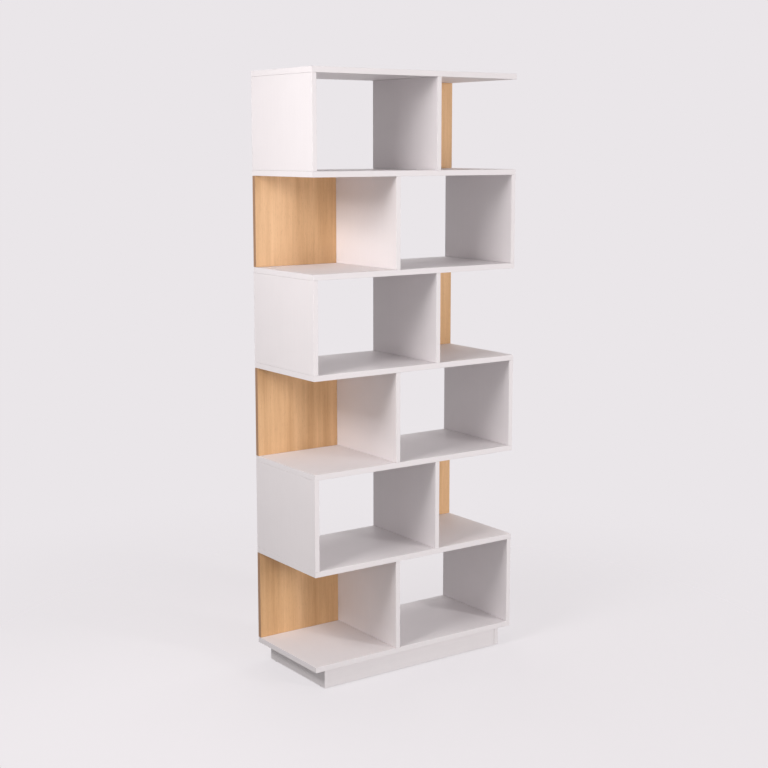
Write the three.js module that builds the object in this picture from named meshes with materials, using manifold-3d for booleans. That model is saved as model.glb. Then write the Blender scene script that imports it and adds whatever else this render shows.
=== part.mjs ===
import * as THREE from "three";
import { mergeVertices } from "three/addons/utils/BufferGeometryUtils.js";
import Module from "manifold-3d";

// A free-standing zigzag bookshelf: full-width shelves with upright boards between them.
// Each tier is open at one end, and the open end changes side from one tier to the next.
// Millimetres, +Z up, origin on the floor under the middle. The front faces -Y.
// Tiers and shelves are numbered from the floor upwards.

// Case boards
const SHELF_WIDTH = 800;
const SHELF_DEPTH = 360;
const SHELF_THICKNESS = 18;
const PANEL_THICKNESS = 16;
const CLEAR_HEIGHT = 294;
const OPEN_BAY_WIDTH = 312;
const BACK_THICKNESS = 15;
const TIER_COUNT = 6;

// Plinth frame under the lowest shelf
const PLINTH_HEIGHT = 66;
const PLINTH_BOARD_THICKNESS = 16;
const PLINTH_END_INSET = 41;
const PLINTH_FRONT_INSET = 14;
const PLINTH_BACK_INSET = 12;
const PLINTH_FRONT_SETBACK = 1;

// Grooves and tongues, all cut with one cutter
const GROOVE_WIDTH = 6;
const GROOVE_DEPTH = 7;
const TONGUE_CLEARANCE = 0.3;
const SEAT_GAP = 0.3;
const PANEL_GROOVE_SETBACK = 40;
const BACK_GROOVE_SETBACK = 20;
const PLINTH_GROOVE_SETBACK = 50;
const PLINTH_END_GROOVE_SETBACK = 10;
const CUT_OVERRUN = 1;

// Nail-on glides under the plinth
const GLIDE_RADIUS = 7;
const GLIDE_THICKNESS = 2;
const GLIDE_CHAMFER = 0.6;
const GLIDE_SETBACK = 30;
const NAIL_RADIUS = 1;
const NAIL_LENGTH = 14;
const NAIL_POINT = 2;
const NAIL_CLEARANCE = 0.3;
const ROUND_SEGMENTS = 24;

// Places worked out from the sizes above
const tierPitch = SHELF_THICKNESS + CLEAR_HEIGHT;
const panelHeight = CLEAR_HEIGHT - 2 * SEAT_GAP;
const panelGrooveRun = SHELF_DEPTH - 2 * PANEL_GROOVE_SETBACK;
const backWidth = OPEN_BAY_WIDTH - SEAT_GAP;
const backGrooveRun = backWidth - 2 * BACK_GROOVE_SETBACK;
const backSideGrooveRun = panelHeight - 2 * BACK_GROOVE_SETBACK;
const backY = SHELF_DEPTH / 2 - BACK_THICKNESS / 2;
const tongueThickness = GROOVE_WIDTH - 2 * TONGUE_CLEARANCE;
const tongueReach = GROOVE_DEPTH - TONGUE_CLEARANCE;
const looseTongueHeight = 2 * tongueReach + SEAT_GAP;

const plinthWidth = SHELF_WIDTH - 2 * PLINTH_END_INSET;
const plinthDepth = SHELF_DEPTH - PLINTH_FRONT_INSET - PLINTH_BACK_INSET;
const plinthY = (PLINTH_FRONT_INSET - PLINTH_BACK_INSET) / 2;
const plinthBoardHeight = PLINTH_HEIGHT - GLIDE_THICKNESS - 2 * SEAT_GAP;
const plinthBoardZ = GLIDE_THICKNESS + SEAT_GAP + plinthBoardHeight / 2;
const plinthSideX = plinthWidth / 2 - PLINTH_BOARD_THICKNESS / 2;
const crossBoardLength = plinthWidth - 2 * (PLINTH_BOARD_THICKNESS + SEAT_GAP);
const frontBoardY = plinthY - plinthDepth / 2 + PLINTH_FRONT_SETBACK + PLINTH_BOARD_THICKNESS / 2;
const backBoardY = plinthY + plinthDepth / 2 - PLINTH_BOARD_THICKNESS / 2;
const railLength = backBoardY - frontBoardY - PLINTH_BOARD_THICKNESS - 2 * SEAT_GAP;
const railY = (frontBoardY + backBoardY) / 2;
const plinthGrooveRun = crossBoardLength - 2 * PLINTH_GROOVE_SETBACK;
const plinthEndGrooveRun = plinthBoardHeight - 2 * PLINTH_END_GROOVE_SETBACK;
const glideY = plinthDepth / 2 - GLIDE_SETBACK;

const wasm = await Module();
wasm.setup();

// Each tier has an end panel on its wall side: the right for odd tiers, the left for even ones.
function wallSide(tier) {
  return tier % 2 === 1 ? 1 : -1;
}

function endPanelX(tier) {
  return wallSide(tier) * (SHELF_WIDTH - PANEL_THICKNESS) / 2;
}

function dividerX(tier) {
  return -wallSide(tier) * (SHELF_WIDTH / 2 - OPEN_BAY_WIDTH - PANEL_THICKNESS / 2);
}

// The oak back ends flush with the open end of its tier.
function backX(tier) {
  return -wallSide(tier) * (SHELF_WIDTH - backWidth) / 2;
}

function shelfZ(number) {
  return PLINTH_HEIGHT + (number - 1) * tierPitch + SHELF_THICKNESS / 2;
}

function tierZ(tier) {
  return shelfZ(tier) + SHELF_THICKNESS / 2 + CLEAR_HEIGHT / 2;
}

// A three.js geometry as a closed solid, with its shared corners merged.
function solidFrom(geometry) {
  const bare = geometry.clone();
  bare.deleteAttribute("normal");
  bare.deleteAttribute("uv");
  const merged = mergeVertices(bare);
  const vertProperties = new Float32Array(merged.attributes.position.array);
  const triVerts = new Uint32Array(merged.index.array);
  return new wasm.Manifold(new wasm.Mesh({ numProp: 3, vertProperties, triVerts }));
}

function geometryFrom(solid) {
  const mesh = solid.getMesh();
  const geometry = new THREE.BufferGeometry();
  geometry.setAttribute("position", new THREE.BufferAttribute(mesh.vertProperties, 3));
  geometry.setIndex(new THREE.BufferAttribute(mesh.triVerts, 1));
  geometry.computeVertexNormals();
  return geometry;
}

function block(width, depth, height, x = 0, y = 0, z = 0) {
  return solidFrom(new THREE.BoxGeometry(width, depth, height).translate(x, y, z));
}

function rod(radius, height, x, y, z) {
  const geometry = new THREE.CylinderGeometry(radius, radius, height, ROUND_SEGMENTS);
  return solidFrom(geometry.rotateX(Math.PI / 2).translate(x, y, z));
}

function cutAll(solid, cutters) {
  return cutters.reduce((rest, cutter) => rest.subtract(cutter), solid);
}

function joinAll(solid, additions) {
  return additions.reduce((rest, addition) => rest.add(addition), solid);
}

// Where a groove's cutter sits, measured from the middle of a board of the given thickness.
function cutterPlace(thickness, side) {
  return side * (thickness + CUT_OVERRUN - GROOVE_DEPTH) / 2;
}

// Where a fixed tongue sits, measured from the middle of the board that carries it.
function tonguePlace(length, side) {
  return side * (length + tongueReach) / 2;
}

// Cutters for the top or underside of a board: one along Y and one along X.
function grooveAlongY(run, x, y, boardHeight, side) {
  const depth = GROOVE_DEPTH + CUT_OVERRUN;
  return block(GROOVE_WIDTH, run, depth, x, y, cutterPlace(boardHeight, side));
}

function grooveAlongX(run, x, y, boardHeight, side) {
  const depth = GROOVE_DEPTH + CUT_OVERRUN;
  return block(run, GROOVE_WIDTH, depth, x, y, cutterPlace(boardHeight, side));
}

// Upright cutters for a board's left or right face, and for its front or back face.
function grooveInSide(run, y, boardWidth, side) {
  const depth = GROOVE_DEPTH + CUT_OVERRUN;
  return block(depth, GROOVE_WIDTH, run, cutterPlace(boardWidth, side), y, 0);
}

function grooveInFace(run, x, boardDepth, side) {
  const depth = GROOVE_DEPTH + CUT_OVERRUN;
  return block(GROOVE_WIDTH, depth, run, x, cutterPlace(boardDepth, side), 0);
}

// The grooves that one tier's boards need in the shelf face they stand on or hold up.
function tierGrooves(tier, side) {
  return [
    grooveAlongY(panelGrooveRun, endPanelX(tier), 0, SHELF_THICKNESS, side),
    grooveAlongY(panelGrooveRun, dividerX(tier), 0, SHELF_THICKNESS, side),
    grooveAlongX(backGrooveRun, backX(tier), backY, SHELF_THICKNESS, side),
  ];
}

function plinthGrooves() {
  return [
    grooveAlongX(plinthGrooveRun, 0, frontBoardY, SHELF_THICKNESS, -1),
    grooveAlongX(plinthGrooveRun, 0, backBoardY, SHELF_THICKNESS, -1),
  ];
}

function shelfShape(number) {
  const board = block(SHELF_WIDTH, SHELF_DEPTH, SHELF_THICKNESS);
  const above = number <= TIER_COUNT ? tierGrooves(number, 1) : [];
  const below = number > 1 ? tierGrooves(number - 1, -1) : plinthGrooves();
  return cutAll(board, [...above, ...below]);
}

function panelShape() {
  const board = block(PANEL_THICKNESS, SHELF_DEPTH, panelHeight);
  const grooves = [1, -1].map((side) => grooveAlongY(panelGrooveRun, 0, 0, panelHeight, side));
  return cutAll(board, grooves);
}

// A divider is an end panel with one more groove, for the oak back beside it.
function dividerShape(tier) {
  return panelShape().subtract(
    grooveInSide(backSideGrooveRun, backY, PANEL_THICKNESS, -wallSide(tier)),
  );
}

// An oak back has a tongue on its top, its bottom and the edge that meets the divider.
function backShape(tier) {
  const board = block(backWidth, BACK_THICKNESS, panelHeight);
  const levelRun = backGrooveRun - 2 * TONGUE_CLEARANCE;
  const uprightRun = backSideGrooveRun - 2 * TONGUE_CLEARANCE;
  const reach = tongueReach;
  const tongues = [
    block(levelRun, tongueThickness, reach, 0, 0, tonguePlace(panelHeight, 1)),
    block(levelRun, tongueThickness, reach, 0, 0, tonguePlace(panelHeight, -1)),
    block(reach, tongueThickness, uprightRun, tonguePlace(backWidth, wallSide(tier)), 0, 0),
  ];
  return joinAll(board, tongues);
}

function looseTongueShape() {
  return block(tongueThickness, panelGrooveRun - 2 * TONGUE_CLEARANCE, looseTongueHeight);
}

function plinthTongueShape() {
  return block(plinthGrooveRun - 2 * TONGUE_CLEARANCE, tongueThickness, looseTongueHeight);
}

// A plinth side board takes the tongues of the front and back boards and two glide nails.
function plinthSideShape(side) {
  const board = block(PLINTH_BOARD_THICKNESS, plinthDepth, plinthBoardHeight);
  const grooves = [frontBoardY, backBoardY].map((y) =>
    grooveInSide(plinthEndGrooveRun, y - plinthY, PLINTH_BOARD_THICKNESS, -side));
  const holeDepth = NAIL_LENGTH + NAIL_CLEARANCE + CUT_OVERRUN;
  const holeZ = -plinthBoardHeight / 2 - CUT_OVERRUN + holeDepth / 2;
  const holes = [-glideY, glideY].map((y) =>
    rod(NAIL_RADIUS + NAIL_CLEARANCE, holeDepth, 0, y, holeZ));
  return cutAll(board, [...grooves, ...holes]);
}

// The front and back boards: inward is the side that the middle rail meets.
function plinthCrossShape(inward) {
  const board = block(crossBoardLength, PLINTH_BOARD_THICKNESS, plinthBoardHeight);
  const grooved = cutAll(board, [
    grooveAlongX(plinthGrooveRun, 0, 0, plinthBoardHeight, 1),
    grooveInFace(plinthEndGrooveRun, 0, PLINTH_BOARD_THICKNESS, inward),
  ]);
  const run = plinthEndGrooveRun - 2 * TONGUE_CLEARANCE;
  return joinAll(grooved, [1, -1].map((side) =>
    block(tongueReach, tongueThickness, run, tonguePlace(crossBoardLength, side), 0, 0)));
}

function plinthRailShape() {
  const board = block(PLINTH_BOARD_THICKNESS, railLength, plinthBoardHeight);
  const run = plinthEndGrooveRun - 2 * TONGUE_CLEARANCE;
  return joinAll(board, [1, -1].map((side) =>
    block(tongueThickness, tongueReach, run, 0, tonguePlace(railLength, side), 0)));
}

// A glide is a chamfered disc with its nail, turned about its own axis from the floor up.
function glideGeometry() {
  const nailBase = GLIDE_THICKNESS + SEAT_GAP;
  const outline = [
    new THREE.Vector2(0, 0),
    new THREE.Vector2(GLIDE_RADIUS - GLIDE_CHAMFER, 0),
    new THREE.Vector2(GLIDE_RADIUS, GLIDE_CHAMFER),
    new THREE.Vector2(GLIDE_RADIUS, GLIDE_THICKNESS),
    new THREE.Vector2(NAIL_RADIUS, GLIDE_THICKNESS),
    new THREE.Vector2(NAIL_RADIUS, nailBase + NAIL_LENGTH - NAIL_POINT),
    new THREE.Vector2(0, nailBase + NAIL_LENGTH),
  ];
  return new THREE.LatheGeometry(outline, ROUND_SEGMENTS).rotateX(Math.PI / 2);
}

function whiteBoard() {
  return new THREE.MeshStandardMaterial({ color: 0xefebed, roughness: 0.45, metalness: 0 });
}

function oakVeneer() {
  return new THREE.MeshStandardMaterial({ color: 0xd4a47c, roughness: 0.55, metalness: 0 });
}

function beechTongue() {
  return new THREE.MeshStandardMaterial({ color: 0xcfae84, roughness: 0.7, metalness: 0 });
}

function glidePlastic() {
  return new THREE.MeshStandardMaterial({ color: 0x9a9894, roughness: 0.6, metalness: 0 });
}

const bookshelf = new THREE.Group();

function place(name, geometry, material, x, y, z) {
  const mesh = new THREE.Mesh(geometry, material);
  mesh.name = name;
  mesh.position.set(x, y, z);
  bookshelf.add(mesh);
}

function placeSolid(name, solid, material, x, y, z) {
  place(name, geometryFrom(solid), material, x, y, z);
}

function addShelves() {
  for (let number = 1; number <= TIER_COUNT + 1; number += 1) {
    placeSolid(`shelf_${number}`, shelfShape(number), whiteBoard(), 0, 0, shelfZ(number));
  }
}

// One tier's upright boards and oak back.
function addTierBoards(tier) {
  const z = tierZ(tier);
  placeSolid(`end_panel_${tier}`, panelShape(), whiteBoard(), endPanelX(tier), 0, z);
  placeSolid(`divider_${tier}`, dividerShape(tier), whiteBoard(), dividerX(tier), 0, z);
  placeSolid(`oak_back_${tier}`, backShape(tier), oakVeneer(), backX(tier), backY, z);
}

// The loose tongues that locate one tier's uprights, half in the upright and half in the shelf.
function addTierTongues(tier) {
  const levels = { lower: -CLEAR_HEIGHT / 2 + SEAT_GAP / 2, upper: CLEAR_HEIGHT / 2 - SEAT_GAP / 2 };
  for (const [level, offset] of Object.entries(levels)) {
    const z = tierZ(tier) + offset;
    const name = `tongue_${level}_${tier}`;
    placeSolid(`end_${name}`, looseTongueShape(), beechTongue(), endPanelX(tier), 0, z);
    placeSolid(`divider_${name}`, looseTongueShape(), beechTongue(), dividerX(tier), 0, z);
  }
}

function addPlinth() {
  const z = plinthBoardZ;
  placeSolid("plinth_left", plinthSideShape(-1), whiteBoard(), -plinthSideX, plinthY, z);
  placeSolid("plinth_right", plinthSideShape(1), whiteBoard(), plinthSideX, plinthY, z);
  placeSolid("plinth_front", plinthCrossShape(1), whiteBoard(), 0, frontBoardY, z);
  placeSolid("plinth_back", plinthCrossShape(-1), whiteBoard(), 0, backBoardY, z);
  placeSolid("plinth_rail", plinthRailShape(), whiteBoard(), 0, railY, z);
  const tongueZ = PLINTH_HEIGHT - SEAT_GAP / 2;
  placeSolid("plinth_tongue_front", plinthTongueShape(), beechTongue(), 0, frontBoardY, tongueZ);
  placeSolid("plinth_tongue_back", plinthTongueShape(), beechTongue(), 0, backBoardY, tongueZ);
}

function addGlides() {
  const sides = { left: -1, right: 1 };
  const ends = { front: -1, back: 1 };
  for (const [sideName, side] of Object.entries(sides)) {
    for (const [endName, end] of Object.entries(ends)) {
      const y = plinthY + end * glideY;
      place(`glide_${endName}_${sideName}`, glideGeometry(), glidePlastic(), side * plinthSideX, y, 0);
    }
  }
}

addShelves();
for (let tier = 1; tier <= TIER_COUNT; tier += 1) {
  addTierBoards(tier);
  addTierTongues(tier);
}
addPlinth();
addGlides();

export default bookshelf;
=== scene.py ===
import math

import bmesh
import bpy
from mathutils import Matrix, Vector


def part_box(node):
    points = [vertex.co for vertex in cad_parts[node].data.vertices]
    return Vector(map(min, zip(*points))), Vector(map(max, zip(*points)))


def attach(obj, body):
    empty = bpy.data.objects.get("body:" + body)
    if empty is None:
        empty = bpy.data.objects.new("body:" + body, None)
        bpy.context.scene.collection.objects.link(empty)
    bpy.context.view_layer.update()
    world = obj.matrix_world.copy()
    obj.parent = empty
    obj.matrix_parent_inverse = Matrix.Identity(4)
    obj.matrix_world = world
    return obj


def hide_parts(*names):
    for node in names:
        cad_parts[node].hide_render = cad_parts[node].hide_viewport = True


# Zigzag bookshelf: seven full-width shelves with upright boards between them, six oak backs and
# a plinth. Metres, +Z up, front towards -Y, tiers and shelves counted from the floor.
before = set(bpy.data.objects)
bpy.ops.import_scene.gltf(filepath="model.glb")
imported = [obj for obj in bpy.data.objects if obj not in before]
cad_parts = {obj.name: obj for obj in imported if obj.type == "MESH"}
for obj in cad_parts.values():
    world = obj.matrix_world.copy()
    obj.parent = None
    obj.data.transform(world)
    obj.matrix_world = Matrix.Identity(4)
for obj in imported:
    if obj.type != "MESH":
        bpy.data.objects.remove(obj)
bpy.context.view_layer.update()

# Camera: at the front left and a little below the top shelf, looking slightly down, as in the
# photograph.
CAMERA_PLACE = Vector((-2.724, -3.837, 1.716))
CAMERA_HEADING = math.radians(35.28)
CAMERA_DIP = math.radians(8.486)
CAMERA_LENS = 66.87
CAMERA_SHIFT = -0.031

camera_data = bpy.data.cameras.new("camera")
camera_data.lens = CAMERA_LENS
camera_data.sensor_width = 36
camera_data.shift_y = CAMERA_SHIFT
camera = bpy.data.objects.new("camera", camera_data)
camera.location = CAMERA_PLACE
camera.rotation_euler = (math.pi / 2 - CAMERA_DIP, 0, -CAMERA_HEADING)
bpy.context.scene.collection.objects.link(camera)
bpy.context.scene.camera = camera


# Glides: four moulded discs nailed into the plinth's side boards from below. They keep the
# bare lower edges off the floor.
GLIDE_GREY = (0.33, 0.32, 0.31, 1)
GLIDE_SCUFF = (0.21, 0.20, 0.19, 1)


class Wire:
    """A shader socket. Arithmetic on it adds Math nodes, and node() adds any other node."""

    def __init__(self, tree, socket):
        self.tree = tree
        self.socket = socket

    def node(self, kind, settings, sockets, output=0):
        made = self.tree.nodes.new("ShaderNode" + kind)
        for name, value in settings.items():
            if name == "stops":
                place_stops(made.color_ramp, value)
            else:
                setattr(made, name, value)
        for name, value in sockets.items():
            if isinstance(value, Wire):
                self.tree.links.new(value.socket, made.inputs[name])
            else:
                made.inputs[name].default_value = value
        return Wire(self.tree, made.outputs[output])

    def maths(self, operation, first, second=0):
        return self.node("Math", {"operation": operation}, {0: first, 1: second})

    def __add__(self, other):
        return self.maths("ADD", self, other)

    def __sub__(self, other):
        return self.maths("SUBTRACT", self, other)

    def __mul__(self, other):
        return self.maths("MULTIPLY", self, other)

    def __gt__(self, other):
        return self.maths("GREATER_THAN", self, other)

    __radd__ = __add__
    __rmul__ = __mul__

    def __rsub__(self, other):
        return self.maths("SUBTRACT", other, self)

    def __abs__(self):
        return self.maths("ABSOLUTE", self)

    def part(self, axis):
        """One coordinate, by its letter."""
        return self.node("SeparateXYZ", {}, {"Vector": self}, axis)

    def stretched(self, x, y, z):
        """These coordinates times a scale of their own along each axis."""
        return self.node("Mapping", {}, {"Vector": self, "Scale": (x, y, z)})

    def noise(self, scale, detail=2, roughness=0.5):
        sockets = {"Vector": self, "Scale": scale, "Detail": detail, "Roughness": roughness}
        return self.node("TexNoise", {}, sockets, "Fac")

    def ramp(self, *stops):
        return self.node("ValToRGB", {"stops": stops}, {"Fac": self})

    def blend(self, low, high):
        """One colour where this is 0 and another where it is 1."""
        return self.node("Mix", {"data_type": "RGBA"}, {0: self, 6: low, 7: high}, 2)

    def bump(self, distance, strength=1.0):
        sockets = {"Height": self, "Distance": distance, "Strength": strength}
        return self.node("Bump", {}, sockets)

    def into(self, shader, name):
        self.tree.links.new(self.socket, shader.inputs[name])


def place_stops(ramp, stops):
    """Sets a colour ramp's stops from (place, colour or grey) pairs."""
    while len(ramp.elements) < len(stops):
        ramp.elements.new(1)
    for element, (place, colour) in zip(ramp.elements, stops):
        element.position = place
        element.color = colour if isinstance(colour, tuple) else (colour, colour, colour, 1)


def new_finish(name):
    """A material, its Principled shader and its object coordinates."""
    material = bpy.data.materials.new(name)
    material.use_nodes = True
    tree = material.node_tree
    coordinates = tree.nodes.new("ShaderNodeTexCoord").outputs["Object"]
    return material, tree.nodes["Principled BSDF"], Wire(tree, coordinates)


def refinish(node, material):
    """Gives a CAD piece that keeps its own shape a new material."""
    piece = bpy.data.objects[node]
    piece.data.materials.clear()
    piece.data.materials.append(material)


def glide_finish():
    material, shader, place = new_finish("glide_plastic")
    scuffs = place.noise(220, 5, 0.65)
    scuffs.blend(GLIDE_GREY, GLIDE_SCUFF).into(shader, "Base Color")
    (scuffs * 0.25 + 0.45).into(shader, "Roughness")
    scuffs.bump(0.0001, 0.3).into(shader, "Normal")
    return material


glide_plastic = glide_finish()
for end in ("front", "back"):
    for side in ("left", "right"):
        refinish(f"glide_{end}_{side}", glide_plastic)


# Tongues: planed beech strips glued half into an upright and half into a shelf, with two more
# between the plinth and the lowest shelf. The oak backs and the plinth's cross boards and rail
# have tongues of the same thickness worked on their own edges.
BEECH_PALE = (0.62, 0.42, 0.25, 1)
BEECH_DARK = (0.47, 0.29, 0.16, 1)
LEVELS = ("lower", "upper")
TIERS = range(1, 7)
X, Y, Z = range(3)
JOINT_GAP = 0.0003
TONGUE_ROOT = 0.002
OAK_TONGUE_SETBACK = 0.0203
PLINTH_TONGUE_SETBACK = 0.0103


def beech_finish():
    material, shader, place = new_finish("beech_tongue")
    grain = place.stretched(18, 2, 60).noise(6, 6, 0.6)
    flecks = place.stretched(90, 14, 260).noise(9, 2)
    grain.blend(BEECH_DARK, BEECH_PALE).into(shader, "Base Color")
    (flecks * 0.2 + 0.5).into(shader, "Roughness")
    (grain + flecks).bump(0.0002, 0.25).into(shader, "Normal")
    return material


def wall_side(tier):
    """+1 where the tier's end panel is on the right, -1 where it is on the left."""
    return 1 if tier % 2 else -1


def between(low, high, axis, start, end):
    """The same corners with their span along one axis replaced."""
    low, high = low.copy(), high.copy()
    low[axis], high[axis] = start, end
    return low, high


def oak_board(tier):
    """Corners of an oak back without its tongues: it reaches from the divider to the open end."""
    low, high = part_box(f"oak_back_{tier}")
    post_low, post_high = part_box(f"divider_{tier}")
    low.z, high.z = post_low.z, post_high.z
    if wall_side(tier) > 0:
        high.x = post_low.x - JOINT_GAP
    else:
        low.x = post_high.x + JOINT_GAP
    return low, high


def plinth_cross_board(node):
    """Corners of the plinth's front or back board without its tongues."""
    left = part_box("plinth_left")[1].x + JOINT_GAP
    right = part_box("plinth_right")[0].x - JOINT_GAP
    return between(*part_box(node), X, left, right)


def plinth_rail_board():
    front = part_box("plinth_front")[1].y + JOINT_GAP
    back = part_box("plinth_back")[0].y - JOINT_GAP
    return between(*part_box("plinth_rail"), Y, front, back)


def worked_tongue(board, axis, tip, along, setback):
    """A tongue on a board's own edge, along one axis, short of the corners and out to its tip."""
    low, high = between(*board, along, board[0][along] + setback, board[1][along] - setback)
    thin = X + Y + Z - axis - along
    middle = (low[thin] + high[thin]) / 2
    low, high = between(low, high, thin, middle - tongue_thickness / 2,
                        middle + tongue_thickness / 2)
    if tip > high[axis]:
        return between(low, high, axis, high[axis] - TONGUE_ROOT, tip)
    return between(low, high, axis, tip, low[axis] + TONGUE_ROOT)


def oak_tongues(tier):
    board = oak_board(tier)
    low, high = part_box(f"oak_back_{tier}")
    divider_tip = high.x if wall_side(tier) > 0 else low.x
    return [worked_tongue(board, Z, high.z, X, OAK_TONGUE_SETBACK),
            worked_tongue(board, Z, low.z, X, OAK_TONGUE_SETBACK),
            worked_tongue(board, X, divider_tip, Z, OAK_TONGUE_SETBACK)]


def end_tongues(node, board, axis):
    low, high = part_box(node)
    return [worked_tongue(board, axis, tip, Z, PLINTH_TONGUE_SETBACK)
            for tip in (low[axis], high[axis])]


strips = [f"{board}_tongue_{level}_{tier}"
          for board in ("end", "divider") for level in LEVELS for tier in TIERS]
strips += ["plinth_tongue_front", "plinth_tongue_back"]
beech = beech_finish()
for strip in strips:
    refinish(strip, beech)

strip_low, strip_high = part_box("plinth_tongue_front")
tongue_thickness = strip_high.y - strip_low.y
front_tongues = end_tongues("plinth_front", plinth_cross_board("plinth_front"), X)
back_tongues = end_tongues("plinth_back", plinth_cross_board("plinth_back"), X)
rail_tongues = end_tongues("plinth_rail", plinth_rail_board(), Y)
all_tongues = [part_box(strip) for strip in strips] + front_tongues + back_tongues + rail_tongues
for tier in TIERS:
    all_tongues += oak_tongues(tier)


# Plinth: two side boards that run the full depth, with the front and back boards and a middle
# rail housed between them. It stands in from the shelves on every side and is lacquered white.
GROOVE_CLEARANCE = 0.0003
EDGE_EASING = 0.0007
FLATNESS = 0.000002
WHITE = (0.792, 0.753, 0.764, 1)
WHITE_DULL = (0.766, 0.727, 0.738, 1)
SEAM_SHADE = (0.640, 0.605, 0.610, 1)
SATIN_SPECULAR = 0.2
ALONG_X = (3, 190, 190)
ALONG_Z = (190, 190, 3)


def lacquer_finish(name, grain, seams=()):
    """White satin lacquer with a faint grain and the fine seams of a board's glued-on edging."""
    material, shader, place = new_finish(name)
    cloud = place.noise(3.2, 3)
    handling = place.noise(17, 5, 0.6)
    spray = place.noise(520, 2)
    lines = place.stretched(*grain).noise(1, 4, 0.6)
    tone = (cloud * 0.35 + handling * 0.3 + lines * 0.35).ramp((0.36, 0.0), (0.64, 1.0))
    paint = tone.blend(WHITE_DULL, WHITE)
    height = spray * 0.3
    for axis, start, end in seams:
        across = abs(place.part(axis))
        seam = (across > start) - (across > end)
        paint = seam.blend(paint, SEAM_SHADE)
        height = height - seam
    paint.into(shader, "Base Color")
    (handling * 0.16 + 0.52).into(shader, "Roughness")
    shader.inputs["Specular IOR Level"].default_value = SATIN_SPECULAR
    height.bump(0.00012, 0.4).into(shader, "Normal")
    return material


def faces_at(mesh, axis, level):
    """The faces that lie flat at one height along an axis."""
    return [face for face in mesh.faces
            if all(abs(vert.co[axis] - level) < FLATNESS for vert in face.verts)]


def mark_out(mesh, axis, level, low, high):
    """Scores a rectangle into the flat face at level and returns the face inside it."""
    for across in {X, Y, Z} - {axis}:
        for line in (low[across], high[across]):
            faces = faces_at(mesh, axis, level)
            edges = {edge for face in faces for edge in face.edges}
            verts = {vert for face in faces for vert in face.verts}
            point, normal = Vector(), Vector()
            point[across], normal[across] = line, 1
            bmesh.ops.bisect_plane(mesh, geom=[*verts, *edges, *faces], dist=FLATNESS,
                                   plane_co=point, plane_no=normal)
    middle = (low + high) / 2
    for face in faces_at(mesh, axis, level):
        offset = face.calc_center_bounds() - middle
        offset[axis] = 0
        if offset.length < FLATNESS:
            return face
    raise ValueError("the rectangle isn't inside the board's face")


def push(mesh, face, axis, travel):
    """Moves one marked-out face along an axis, which leaves walls behind it."""
    moved = bmesh.ops.extrude_discrete_faces(mesh, faces=[face])["faces"]
    shift = Vector()
    shift[axis] = travel
    bmesh.ops.translate(mesh, vec=shift, verts=moved[0].verts)


def crossing(low, high, tongue):
    """The axis and level of the board face that a tongue goes through, or None."""
    start, end = tongue
    for axis in (X, Y, Z):
        others = [a for a in (X, Y, Z) if a != axis]
        inside = all(low[a] < start[a] and end[a] < high[a] for a in others)
        for level in (low[axis], high[axis]):
            if inside and start[axis] < level < end[axis]:
                return axis, level
    return None


def rout(mesh, low, high, tongue):
    """Cuts the groove for a tongue that enters the board, with its clearance all round."""
    clearance = Vector((GROOVE_CLEARANCE,) * 3)
    start, end = tongue[0] - clearance, tongue[1] + clearance
    axis, level = crossing(low, high, tongue)
    face = mark_out(mesh, axis, level, start, end)
    bottom = start[axis] if level == high[axis] else end[axis]
    push(mesh, face, axis, bottom - level)


def raise_tongue(mesh, low, high, tongue):
    """Works a tongue on the edge of its own board."""
    start, end = tongue
    axis, level = crossing(low, high, tongue)
    face = mark_out(mesh, axis, level, start, end)
    tip = end[axis] if level == high[axis] else start[axis]
    push(mesh, face, axis, tip - level)


def saw_board(name, node, board, material, own_tongues=()):
    """Makes a board between two corners in place of its CAD node, eased, grooved and tongued."""
    low, high = board
    mesh = bmesh.new()
    bmesh.ops.create_cube(mesh, size=1)
    bmesh.ops.scale(mesh, vec=high - low, verts=mesh.verts)
    bmesh.ops.translate(mesh, vec=(low + high) / 2, verts=mesh.verts)
    bmesh.ops.bevel(mesh, geom=mesh.edges, offset=EDGE_EASING, segments=3, profile=0.5,
                    affect="EDGES", material=-1)
    for tongue in all_tongues:
        if tongue in own_tongues:
            raise_tongue(mesh, low, high, tongue)
        elif crossing(low, high, tongue):
            rout(mesh, low, high, tongue)
    data = bpy.data.meshes.new(name)
    mesh.to_mesh(data)
    mesh.free()
    data.materials.append(material)
    piece = bpy.data.objects.new(name, data)
    bpy.context.scene.collection.objects.link(piece)
    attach(piece, "root")
    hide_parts(node)


plinth_lacquer = lacquer_finish("plinth_lacquer", ALONG_X)
for side in ("left", "right"):
    node = f"plinth_{side}"
    saw_board(f"plinth_side_board_{side}", node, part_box(node), plinth_lacquer)
saw_board("plinth_front_board", "plinth_front", plinth_cross_board("plinth_front"),
          plinth_lacquer, front_tongues)
saw_board("plinth_back_board", "plinth_back", plinth_cross_board("plinth_back"),
          plinth_lacquer, back_tongues)
saw_board("plinth_middle_rail", "plinth_rail", plinth_rail_board(),
          plinth_lacquer, rail_tongues)


# Shelves: seven boards of the full width and depth, lacquered white over a thin glued edging.
# The lowest rests on the plinth, and each of the others on the uprights of the tier below it.
EDGING_THICKNESS = 0.0015
SEAM_WIDTH = 0.00024


def edging_seam(axis, edge):
    """An axis and the two distances from the middle between which an edging's seam lies."""
    middle = edge - EDGING_THICKNESS
    return axis, middle - SEAM_WIDTH / 2, middle + SEAM_WIDTH / 2


shelf_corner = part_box("shelf_1")[1]
long_seam = edging_seam("Y", shelf_corner.y)
end_seam = edging_seam("X", shelf_corner.x)
shelf_lacquer = lacquer_finish("shelf_lacquer", ALONG_X, (long_seam, end_seam))
for number in range(1, 8):
    node = f"shelf_{number}"
    saw_board(f"shelf_board_{number}", node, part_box(node), shelf_lacquer)


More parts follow.
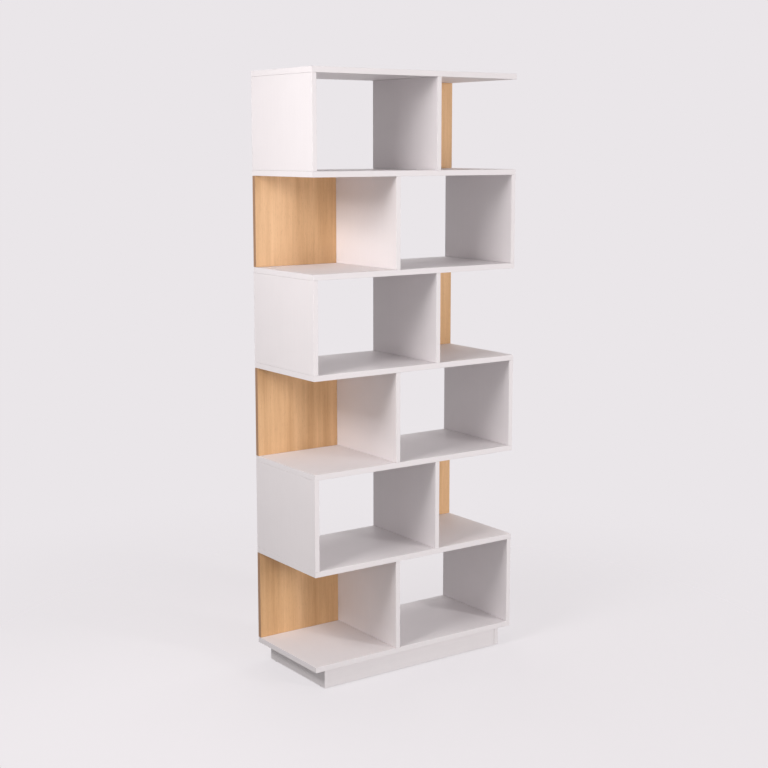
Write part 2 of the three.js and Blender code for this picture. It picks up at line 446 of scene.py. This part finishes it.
# Uprights: each tier has an end panel at its walled end and a divider between its through bay
# and its open-ended bay, both the full depth of the shelves, edged and lacquered as they are.
upright_lacquer = lacquer_finish("upright_lacquer", ALONG_Z, (long_seam,))
for tier in TIERS:
    for kind in ("end_panel", "divider"):
        node = f"{kind}_{tier}"
        saw_board(f"{kind}_board_{tier}", node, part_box(node), upright_lacquer)


# Oak backs: veneered boards with upright grain that close the back of each open-ended bay, flush
# with the shelves' back edges and open ends. The end that shows has a darker edge strip.
OAK_PALE = (0.708, 0.442, 0.232, 1)
OAK_DEEP = (0.501, 0.281, 0.122, 1)
OAK_PORE = (0.330, 0.175, 0.085, 1)
OAK_EDGE = (0.330, 0.185, 0.098, 1)
EDGE_STRIP = 0.3994
TIER_PITCH = 0.312
LEAF_START = 0.2404
LEAF_SHIFT = 1.7


def oak_finish():
    """Natural oak veneer: upright figure, fine streaks and short pores, another leaf each tier."""
    material, shader, place = new_finish("oak_veneer")
    height = place.part("Z")
    leaf = place.maths("FLOOR", height * (1 / TIER_PITCH) - LEAF_START)
    sockets = {"X": place.part("X") + leaf * LEAF_SHIFT, "Y": place.part("Y"), "Z": height}
    veneer = place.node("CombineXYZ", {}, sockets)
    drift = veneer.stretched(1, 1, 0.12).noise(7, 3)
    figure = veneer.stretched(1, 1, 0.05).noise(34, 4, 0.55)
    streak = veneer.stretched(1, 1, 0.02).noise(260, 3, 0.6)
    pore = veneer.stretched(1, 1, 0.045).noise(1300, 1)
    tone = (drift * 0.32 + figure * 0.46 + streak * 0.22).ramp((0.37, 0.0), (0.63, 1.0))
    pores = pore.ramp((0.64, 0.0), (0.72, 1.0))
    wood = tone.blend(OAK_DEEP, OAK_PALE)
    grained = (pores * 0.45).blend(wood, OAK_PORE)
    edge = abs(place.part("X")) > EDGE_STRIP
    edge.blend(grained, OAK_EDGE).into(shader, "Base Color")
    (pores * 0.14 + streak * 0.12 + 0.42).into(shader, "Roughness")
    (streak - pores).bump(0.00012, 0.4).into(shader, "Normal")
    return material


oak_veneer = oak_finish()
for tier in TIERS:
    saw_board(f"oak_back_board_{tier}", f"oak_back_{tier}", oak_board(tier),
              oak_veneer, oak_tongues(tier))


# Floor: a wide pale disc that takes the shelf's soft shadow and fades into the backdrop. The
# camera and gloss see it mostly by its own pale glow, so that it stays as even as the backdrop.
FLOOR_RADIUS = 9.0
FADE_START = 0.6
FADE_END = 2.4
FLOOR_GREY = (0.25, 0.25, 0.25, 1)
FLOOR_PALE = (0.860, 0.831, 0.851, 1)
FLOOR_GLOW = (0.820, 0.788, 0.812, 1)
GLOW_SHARE = 0.7
BACKDROP = (0.823, 0.791, 0.815, 1)


def seen_rays(tree):
    """1 for the rays that show the floor and the backdrop themselves, and 0 for their light."""
    path = tree.nodes.new("ShaderNodeLightPath")
    camera_ray = Wire(tree, path.outputs["Is Camera Ray"])
    glossy_ray = Wire(tree, path.outputs["Is Glossy Ray"])
    clear_ray = Wire(tree, path.outputs["Is Transmission Ray"])
    return camera_ray + glossy_ray + clear_ray


def floor_finish():
    material, shader, place = new_finish("floor")
    tree = place.tree
    shader.inputs["Base Color"].default_value = FLOOR_GREY
    shader.inputs["Roughness"].default_value = 1
    lit = place.node("BsdfDiffuse", {}, {"Color": FLOOR_PALE})
    glow = place.node("Emission", {}, {"Color": FLOOR_GLOW})
    shown = place.node("MixShader", {}, {0: GLOW_SHARE, 1: lit, 2: glow})
    base = Wire(tree, shader.outputs["BSDF"])
    seen = seen_rays(tree)
    surface = place.node("MixShader", {}, {0: seen, 1: base, 2: shown})
    distance = place.node("VectorMath", {"operation": "LENGTH"}, {0: place}, "Value")
    settings = {"interpolation_type": "SMOOTHSTEP"}
    sockets = {"Value": distance, "From Min": FADE_START, "From Max": FADE_END}
    fade = distance.node("MapRange", settings, sockets, "Result")
    clear = fade.node("BsdfTransparent", {}, {})
    faded = fade.node("MixShader", {}, {0: fade * seen, 1: surface, 2: clear})
    faded.into(tree.nodes["Material Output"], "Surface")
    return material


disc = bmesh.new()
bmesh.ops.create_circle(disc, cap_ends=True, radius=FLOOR_RADIUS, segments=96)
floor_data = bpy.data.meshes.new("floor")
disc.to_mesh(floor_data)
disc.free()
floor_data.materials.append(floor_finish())
floor = bpy.data.objects.new("floor", floor_data)
bpy.context.scene.collection.objects.link(floor)


# Backdrop and light: an even pale studio. Soft boxes at the left and the front right cast the
# soft shadows, and the other lamps and the world fill them. The world shows its pale colour to
# the camera, to gloss and through the faded floor.
WORLD_LIGHT = (0.328, 0.320, 0.319, 1)
LAMP_TINT = (1.0, 0.976, 0.973)


def studio_world():
    world = bpy.data.worlds.new("studio")
    world.use_nodes = True
    tree = world.node_tree
    lamp = tree.nodes["Background"]
    lamp.inputs["Color"].default_value = WORLD_LIGHT
    seen = seen_rays(tree)
    backdrop = seen.node("Background", {}, {"Color": BACKDROP})
    light = Wire(tree, lamp.outputs["Background"])
    mixed = seen.node("MixShader", {}, {0: seen, 1: light, 2: backdrop})
    mixed.into(tree.nodes["World Output"], "Surface")
    return world


def hang_soft_box(name, place, target, wide, tall, power):
    """A soft box at one place that faces another. The camera doesn't see the box itself."""
    lamp = bpy.data.lights.new(name, "AREA")
    lamp.shape = "RECTANGLE"
    lamp.size, lamp.size_y = wide, tall
    lamp.energy = power
    lamp.color = LAMP_TINT
    light = bpy.data.objects.new(name, lamp)
    light.location = place
    light.rotation_euler = (Vector(target) - Vector(place)).to_track_quat("-Z", "Y").to_euler()
    light.visible_camera = False
    bpy.context.scene.collection.objects.link(light)


bpy.context.scene.world = studio_world()
bpy.context.scene.view_settings.view_transform = "Standard"
hang_soft_box("left_soft_box", (-2.25, -0.58, 2.42), (-0.4, 0, 0), 1.0, 1.0, 45.6)
hang_soft_box("right_soft_box", (2.19, -4.74, 1.9), (0, 0, 0), 0.7, 1.5, 102.5)
hang_soft_box("top_soft_box", (0.4, 0.8, 4.4), (0, 0, 1.9), 1.5, 1.5, 16.4)
hang_soft_box("front_fill", (-1.0, -5.0, 1.0), (0, 0, 0.6), 3.0, 1.6, 71.8)
hang_soft_box("left_fill", (-4.5, -1.0, 1.0), (0, 0, 0.6), 2.5, 1.6, 13.8)
hang_soft_box("right_fill", (4.2, 1.2, 1.0), (0, 0, 0.8), 2.0, 1.8, 63.6)
hang_soft_box("back_fill", (1.5, 4.0, 1.8), (0, 0, 1.0), 3.0, 2.5, 36.9)
